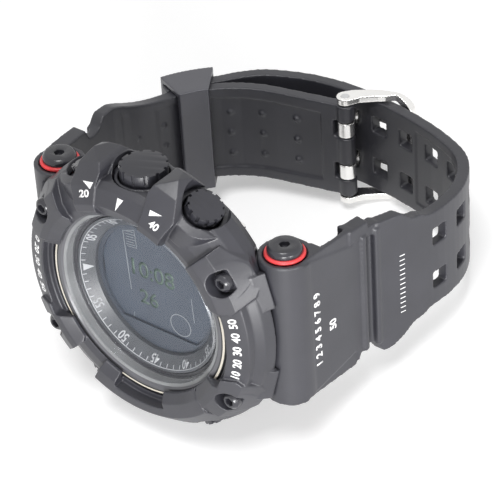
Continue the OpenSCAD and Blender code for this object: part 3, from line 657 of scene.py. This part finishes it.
class WATCH_OT_internals(bpy.types.Operator):
    """Gives every CAD node that shows or lies inside its finish"""

    bl_idname = "watch.internals"
    bl_label = "Finish the module and fittings"

    def execute(self, context):
        finishes = {
            "case_body": "moulded_resin", "bezel": "moulded_resin", "crystal": "mineral_glass",
            "crystal_gasket": "white_gasket", "crystal_rim": "rim_metal", "dial_flange": "track_plastic",
            "dial_mask": "mask_plastic", "lcd_panel": "display_film_with_painted_glare", "lcd_backlight": "diffuser",
            "module_frame": "plain_plastic", "circuit_board": "board_green", "module_chip": "chip_black",
            "timing_quartz": "brushed_steel", "zebra_strips": "zebra_rubber", "battery": "polished_steel",
            "battery_clip": "brass", "buzzer_disc": "brass", "case_back": "brushed_steel",
            "case_back_gasket": "seal_rubber", "case_back_screws": "polished_steel",
            "bezel_screws": "screw_black", "pusher_seals": "seal_rubber", "strap_upper": "strap_resin",
            "strap_lower": "strap_resin", "strap_pins": "brushed_steel", "pin_rings": "ring_rubber",
            "pin_caps": "screw_black", "buckle_frame": "polished_steel", "buckle_bar": "brushed_steel",
            "buckle_prongs": "polished_steel", "keeper": "strap_resin",
        }
        for node, piece in frame["nodes"].items():
            if node.startswith("pusher_spring") or node.startswith("pusher_clip"):
                clad(piece, "brushed_steel")
            elif node in finishes:
                clad(piece, finishes[node])
            elif node.startswith("pusher_"):
                clad(piece, "pusher_resin")
        return {"FINISHED"}


class WATCH_OT_case(bpy.types.Operator):
    """Moulded bezel and case with rounded edges"""

    bl_idname = "watch.case"
    bl_label = "Bezel and case"

    def execute(self, context):
        moulded("bezel", "moulded_bezel", "watch", "moulded_resin", BEZEL_CELL, 3, 195000)
        moulded("case_body", "moulded_case", "watch", "moulded_resin", CASE_CELL, 3)
        return {"FINISHED"}


class WATCH_OT_fittings(bpy.types.Operator):
    """Pushers, bezel screws, and the rings and caps of the strap pins"""

    bl_idname = "watch.fittings"
    bl_label = "Pushers, screws, rings and caps"

    def execute(self, context):
        for hour in ("2", "3", "4", "8", "10"):
            turned_edge("pusher_" + hour, "button_" + hour, "pusher_" + hour, "pusher_resin", 1.0)
        turned_edge("bezel_screws", "socket_screws", "watch", "screw_black", 1.2)
        turned_edge("pin_caps", "socket_caps", "watch", "screw_black", 1.8)
        rings = []
        for end in PIN_ENDS:
            let_go()
            bpy.ops.mesh.primitive_torus_add(major_radius=RING_RADIUS * MM, minor_radius=RING_THICKNESS * MM,
                                             major_segments=96, minor_segments=20)
            ring = bpy.context.object
            bpy.ops.object.mode_set(mode="EDIT")
            bpy.ops.mesh.select_all(action="SELECT")
            bpy.ops.transform.resize(value=(1, 1, 1.15))
            bpy.ops.object.mode_set(mode="OBJECT")
            ring.matrix_world = placed(end, (0, 1, 0), (0, 0, 1))
            settle(ring)
            rings.append(ring)
        ring = join(*rings)
        ring.name = "rubber_rings"
        bpy.ops.object.shade_smooth()
        stand_in(ring, "watch", "ring_rubber", "pin_rings")
        return {"FINISHED"}


class WATCH_OT_straps(bpy.types.Operator):
    """Both strap halves with grooves, ribs, sunken inner panels and pimples, and the keeper"""

    bl_idname = "watch.straps"
    bl_label = "Strap halves and keeper"

    def execute(self, context):
        upper = copy_of("strap_upper", "upper_strap")
        cut(upper, ribbon(UPPER_PANEL, UPPER_PANEL_CUT))
        cut(upper, block((40, 1.6, 1.9), (0, 30.3, -6.2), bevel=0.2))
        spots = [pimple((x, BEND[0] + PIMPLE_ARC * math.cos(a), BEND[1] + PIMPLE_ARC * math.sin(a)))
                 for a in map(math.radians, PIMPLE_ANGLES) for x in PIMPLE_ACROSS]
        spots += [pimple(place) for place in LAST_PIMPLES]
        join(upper, *spots, *[rib(place, 0.6, 12.1) for place in UPPER_RIBS])
        soften(upper, STRAP_CELL, 3)
        stand_in(upper, "watch", "strap_resin", "strap_upper")

        lower = copy_of("strap_lower", "lower_strap")
        cut(lower, ribbon(LOWER_PANEL, LOWER_PANEL_CUT))
        # The groove across the outer face, a ledge along each edge, and a notch by the groove
        cut(lower, block((40, 1.9, 1.75), (0, -31.0, -9.05), (1, 0, 0), (0, 0.97, -0.25), bevel=0.1))
        for side in (-1, 1):
            along = Vector((side * 0.232, 0.092, 0.968))
            across = Vector((side * 0.973, 0, -0.232))
            ledge = Vector((side * 12.65, -30.02, 0.95)) + across * 2
            cut(lower, block((4, 13, 1), ledge, across, along))
        cut(lower, block((4, 8, 4.6), (15.05, -31, -13.1), bevel=0.2))
        # Round ridges on both sides of the groove, and the raised edge beside it
        join(lower, block((24.2, 1.0, 1.2), (0, -30.72, -7.55), bevel=0.3),
             block((24.6, 1.0, 1.3), (0, -31.33, -10.6), bevel=0.3),
             block((2.6, 2.7, 4.5), (13.05, -29.35, -6.95), up=(0, 1, -0.13), bevel=0.15),
             block((2.0, 2.4, 2.7), (12.15, -29.95, -10.0), up=(0, 1, -0.2), bevel=0.15))
        soften(lower, STRAP_CELL, 3, 185000)
        stand_in(lower, "watch", "strap_resin", "strap_lower")

        moulded("keeper", "keeper_loop", "keeper", "keeper_resin", KEEPER_CELL, 4, 80000)
        return {"FINISHED"}


class WATCH_OT_buckle(bpy.types.Operator):
    """Buckle frame and prongs with polished, rounded edges"""

    bl_idname = "watch.buckle"
    bl_label = "Buckle"

    def execute(self, context):
        moulded("buckle_frame", "polished_frame", "buckle", "polished_steel", BUCKLE_CELL, 6, 90000)
        moulded("buckle_prongs", "polished_prongs", "prongs", "polished_steel", BUCKLE_CELL, 5, 60000)
        return {"FINISHED"}


class WATCH_OT_dial(bpy.types.Operator):
    """Minute track with plain numbers, and the display's lines"""

    bl_idname = "watch.dial"
    bl_label = "Dial"

    def execute(self, context):
        track = frame["nodes"]["dial_flange"]
        centre = (0, 0, TRACK_HEIGHT)
        ticks = []
        for minute in range(60):
            if minute % 5:
                mark = dash(0.55, 0.14, 2)
                turn = math.radians(6 * minute)
                mark.matrix_world = Matrix.Rotation(turn, 4, "Z") \
                    @ Matrix.Translation((TICK_RADIUS * MM, 0, 0))
                ticks.append(mark)
        lay(join(*ticks), "minute_ticks", track, centre, (1, 0, 0), (0, 1, 0), ink="track_ink")
        for five in range(1, 12):
            turn = 90 - 30 * five
            x, y, z = around(turn, NUMBER_RADIUS, TRACK_HEIGHT)
            text = "%02d" % (five * 5)
            lay(figure(text, 1.3, 0.03), "minute_" + text, track, (x, y, z), (y, -x, 0), (x, y, 0),
                ink="track_ink")
        lay(wedge(1.5, 1.5), "twelve_mark", track, (0, TWELVE_RADIUS, TRACK_HEIGHT), (0, -1, 0), (1, 0, 0),
            ink="track_ink")
        lay(hoop(LINE_RADIUS, 0.09), "track_line", track, centre, (1, 0, 0), (0, 1, 0), ink="track_ink")

        face = frame["nodes"]["lcd_panel"]
        lines = []
        for start, end, width in DISPLAY_LINES:
            step = Vector(end) - Vector(start)
            middle = ((start[0] + end[0]) / 2 * MM, (start[1] + end[1]) / 2 * MM, 0)
            line = dash(step.length, width)
            line.matrix_world = Matrix.Translation(middle) \
                @ Matrix.Rotation(math.atan2(step.y, step.x), 4, "Z")
            lines.append(line)
        for row in range(6):
            line = dash(2.1 if row % 2 else 1.6, 0.1)
            line.matrix_world = Matrix.Translation(((9.6 - row * 0.55) * MM, 5.35 * MM, 0)) \
                @ Matrix.Rotation(math.radians(-82), 4, "Z")
            lines.append(line)
        ring = hoop(2.3, 0.16, 64)
        ring.matrix_world = Matrix.Translation((-6.4 * MM, -4.6 * MM, 0))
        lines.append(ring)
        lay(join(*lines), "display_lines", face, (0, 0, DISPLAY_HEIGHT), (1, 0, 0), (0, 1, 0),
            ink="faint_ink")
        for text, x, y, size in (("10:08", 2.2, 1.2, 3.4), ("26", -3.6, 2.2, 3.0)):
            lay(figure(text, size, 0.06), "segments_" + text[:2], face, (x, y, DISPLAY_HEIGHT),
                (0, -1, 0), (1, 0, 0), ink="segment_ink")
        return {"FINISHED"}


class WATCH_OT_prints(bpy.types.Operator):
    """White wedges, plain numbers and bars in the places of the bezel's and strap's prints"""

    bl_idname = "watch.prints"
    bl_label = "Prints"

    def execute(self, context):
        bezel = bpy.data.objects["moulded_bezel"]
        lower = bpy.data.objects["lower_strap"]
        for name, tip, base, width in WEDGES:
            along = Vector(tip) - Vector(base)
            middle = Vector(base) + along / 3
            mark = wedge(along.length * MM_PER_PIXEL, width * MM_PER_PIXEL)
            mark.matrix_world = Matrix.Rotation(math.atan2(-along.y, along.x), 4, "Z")
            lay(mark, name, bezel, sight(middle.x, middle.y, BEZEL_TOP), RIGHT, -DOWN, lift=0.0)
        lay(figure("20", 1.25, 0.05), "number_two", bezel, sight(81.5, 193.2, BEZEL_TOP), RIGHT, -DOWN,
            lift=0.0)
        lay(figure("40", 1.25, 0.05), "number_four", bezel, sight(152.0, 226.0, BEZEL_TOP),
            RIGHT * 0.75 + DOWN * 0.6, RIGHT * 0.6 - DOWN * 0.75, lift=0.0)
        for place, text in enumerate(("10", "20", "30", "40", "50")):
            for side in (-90, 90):
                turn = side + BAND_START + place * BAND_STEP
                x, y, z = around(turn, BAND_RADIUS, BAND_HEIGHT)
                lay(figure(text, 1.4, 0.05), "band_%d_%s" % (side % 360, text), bezel, (x, y, z),
                    (-y, x, 0), (-x, -y, 0))
        for place, text in enumerate("123456789"):
            lay(figure(text, 1.5, 0.06), "strap_mark_" + text, lower, (-8.2 + place * 1.8, -32, 3.9),
                (1, 0, 0), (0, 0, 1), lift=2.0)
        lay(figure("50", 1.6, 0.06), "strap_number", lower, (-2.0, -32, 0.2), (1, 0, 0), (0, 0, 1),
            lift=2.0)
        for place in range(13):
            lay(dash(0.16, 0.95, 1), "label_bar_%02d" % place, lower, (-7.6 + place, -33.5, -15.3),
                (1, 0, 0), (0, -0.2, 1), lift=2.0)
        return {"FINISHED"}


class WATCH_OT_stage(bpy.types.Operator):
    """Pale floor, soft studio lamps and the camera"""

    bl_idname = "watch.stage"
    bl_label = "Stage, lamps and camera"

    def execute(self, context):
        let_go()
        floor_z = CAD_BOX[0][2]
        bpy.ops.mesh.primitive_plane_add(size=6, location=(0, 0, floor_z))
        floor = context.object
        floor.name = "floor"
        material, nodes, links = new_material("pale_floor")
        shader = nodes["Principled BSDF"]
        shader.inputs["Base Color"].default_value = (0.8, 0.8, 0.8, 1)
        shader.inputs["Roughness"].default_value = 0.9
        shader.inputs["Specular IOR Level"].default_value = 0.1
        lift = nodes.new("ShaderNodeMath")
        lift.operation = "MULTIPLY"
        lift.inputs[1].default_value = 0.35
        links.new(seen_ray(nodes, links), lift.inputs[0])
        glow = nodes.new("ShaderNodeEmission")
        links.new(lift.outputs["Value"], glow.inputs["Strength"])
        both = nodes.new("ShaderNodeAddShader")
        links.new(shader.outputs["BSDF"], both.inputs[0])
        links.new(glow.outputs["Emission"], both.inputs[1])
        links.new(both.outputs["Shader"], nodes["Material Output"].inputs["Surface"])
        floor.data.materials.append(material)

        for name, place, size, watts in LAMPS:
            lamp = bpy.data.lights.new(name, "AREA")
            lamp.shape = "SQUARE"
            lamp.size = size
            lamp.energy = watts
            holder = bpy.data.objects.new(name, lamp)
            holder.location = place
            holder.rotation_euler = (-Vector(place)).to_track_quat("-Z", "Y").to_euler()
            context.scene.collection.objects.link(holder)

        world = bpy.data.worlds.new("studio")
        context.scene.world = world
        world.use_nodes = True
        nodes, links = world.node_tree.nodes, world.node_tree.links
        back = nodes["Background"]
        level = nodes.new("ShaderNodeMapRange")
        level.inputs["To Min"].default_value = 0.3
        level.inputs["To Max"].default_value = 1.0
        links.new(seen_ray(nodes, links), level.inputs["Value"])
        links.new(level.outputs["Result"], back.inputs["Strength"])
        back.inputs["Color"].default_value = (1, 1, 1, 1)

        view = bpy.data.cameras.new("photo_camera")
        view.lens = FOCUS * SENSOR / PHOTO_SIDE
        view.sensor_width = SENSOR
        view.clip_start = 0.05
        eye = bpy.data.objects.new("photo_camera", view)
        eye.matrix_world = WATCH @ placed(EYE, RIGHT, -DOWN)
        context.scene.collection.objects.link(eye)
        context.scene.camera = eye
        context.scene.view_settings.view_transform = "Standard"
        return {"FINISHED"}


class WATCH_PT_panel(bpy.types.Panel):
    """Shows the watch's sizes and colours, and a button for each step"""

    bl_label = "Watch"
    bl_idname = "WATCH_PT_panel"
    bl_space_type = "VIEW_3D"
    bl_region_type = "UI"
    bl_category = "Watch"

    def draw(self, context):
        layout = self.layout
        for prop in ("edge", "print_height"):
            layout.prop(context.scene.watch_sizes, prop)
        for prop in ("resin", "ring", "ink", "display"):
            layout.prop(context.scene.watch_colours, prop)
        for step in STEPS:
            layout.operator(step.bl_idname)


STEPS = (WATCH_OT_internals, WATCH_OT_case, WATCH_OT_fittings, WATCH_OT_straps, WATCH_OT_buckle,
         WATCH_OT_dial, WATCH_OT_prints, WATCH_OT_stage)
CLASSES = (WatchSizes, WatchColours, *STEPS, WATCH_PT_panel)


def register():
    for cls in CLASSES:
        bpy.utils.register_class(cls)
    bpy.types.Scene.watch_sizes = PointerProperty(type=WatchSizes)
    bpy.types.Scene.watch_colours = PointerProperty(type=WatchColours)


def unregister():
    del bpy.types.Scene.watch_colours
    del bpy.types.Scene.watch_sizes
    for cls in reversed(CLASSES):
        bpy.utils.unregister_class(cls)


def main():
    register()
    for step in STEPS:
        group, call = step.bl_idname.split(".")
        getattr(getattr(bpy.ops, group), call)()
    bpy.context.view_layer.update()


if __name__ == "__main__":
    main()
